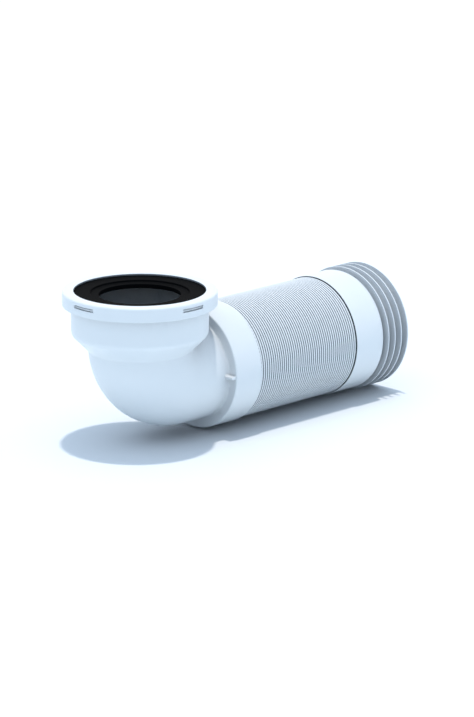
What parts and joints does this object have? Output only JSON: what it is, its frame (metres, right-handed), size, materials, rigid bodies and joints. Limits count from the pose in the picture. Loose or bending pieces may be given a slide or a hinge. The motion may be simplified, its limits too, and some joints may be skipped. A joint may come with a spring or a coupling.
{
  "type": "flexible toilet pan connector",
  "caption": "White elbow with a black rubber pan seal under a snap ring, joined by a bellows hose that draws out to a finned spigot for the soil pipe.",
  "frame": {"origin": "centre of the inlet's mouth, in the top plane of the retaining ring", "axes": "+Z out of the inlet towards the pan's spout, +X along the hose towards the soil pipe"},
  "size_m": [0.3603, 0.138, 0.1415],
  "materials": {
    "white_plastic": "moulded, satin gloss",
    "black_rubber": "moulded rubber, dull",
    "hose_plastic": "soft moulded plastic",
    "fin_rubber": "soft pale rubber"
  },
  "bodies": {
    "elbow_end": {"elbow": "white_plastic", "retaining_ring": "white_plastic", "inlet_seal": "black_rubber", "flexible_hose": "hose_plastic"},
    "outlet_end": {"outlet_spigot": "white_plastic", "outlet_seal": "fin_rubber"}
  },
  "joints": [
    {"name": "hose_stretch", "type": "slide", "parent": "elbow_end", "child": "outlet_end", "axis": [1, 0, 0], "range_m": [0, 0.14], "deforming": ["flexible_hose"]}
  ]
}
